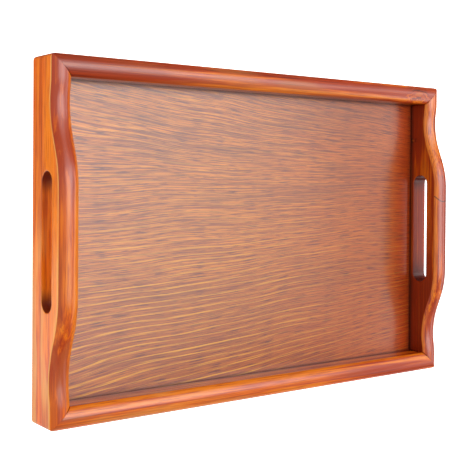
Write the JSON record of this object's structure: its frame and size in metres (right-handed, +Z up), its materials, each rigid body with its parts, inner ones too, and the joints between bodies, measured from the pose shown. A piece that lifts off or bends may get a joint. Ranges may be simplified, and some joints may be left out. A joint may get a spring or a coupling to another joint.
{
  "type": "serving tray",
  "caption": "Rectangular wooden serving tray with a mitred, crowned frame, raised end handles with hand slots, and a veneered plywood panel set in a groove.",
  "frame": {"origin": "centre of the tray's footprint, on the surface that it stands on", "axes": "+X along the tray's length towards the right handle, +Y across it towards the back long rail, +Z up out of the panel"},
  "size_m": [0.45, 0.3, 0.0512],
  "materials": {
    "rail_wood": "semi-gloss clear lacquer over orange-brown stain",
    "panel_veneer": "satin lacquer over brown stain, fine open grain along X",
    "panel_core": "bare ply",
    "nail_steel": "bare steel"
  },
  "bodies": {
    "root": {"left_handle_rail": "rail_wood", "right_handle_rail": "rail_wood", "front_long_rail": "rail_wood", "back_long_rail": "rail_wood", "panel_face_veneer": "panel_veneer", "panel_upper_crossband": "panel_core", "panel_centre_ply": "panel_core", "panel_lower_crossband": "panel_core", "panel_back_veneer": "panel_veneer", "mitre_v_nails": "nail_steel"}
  },
  "joints": []
}
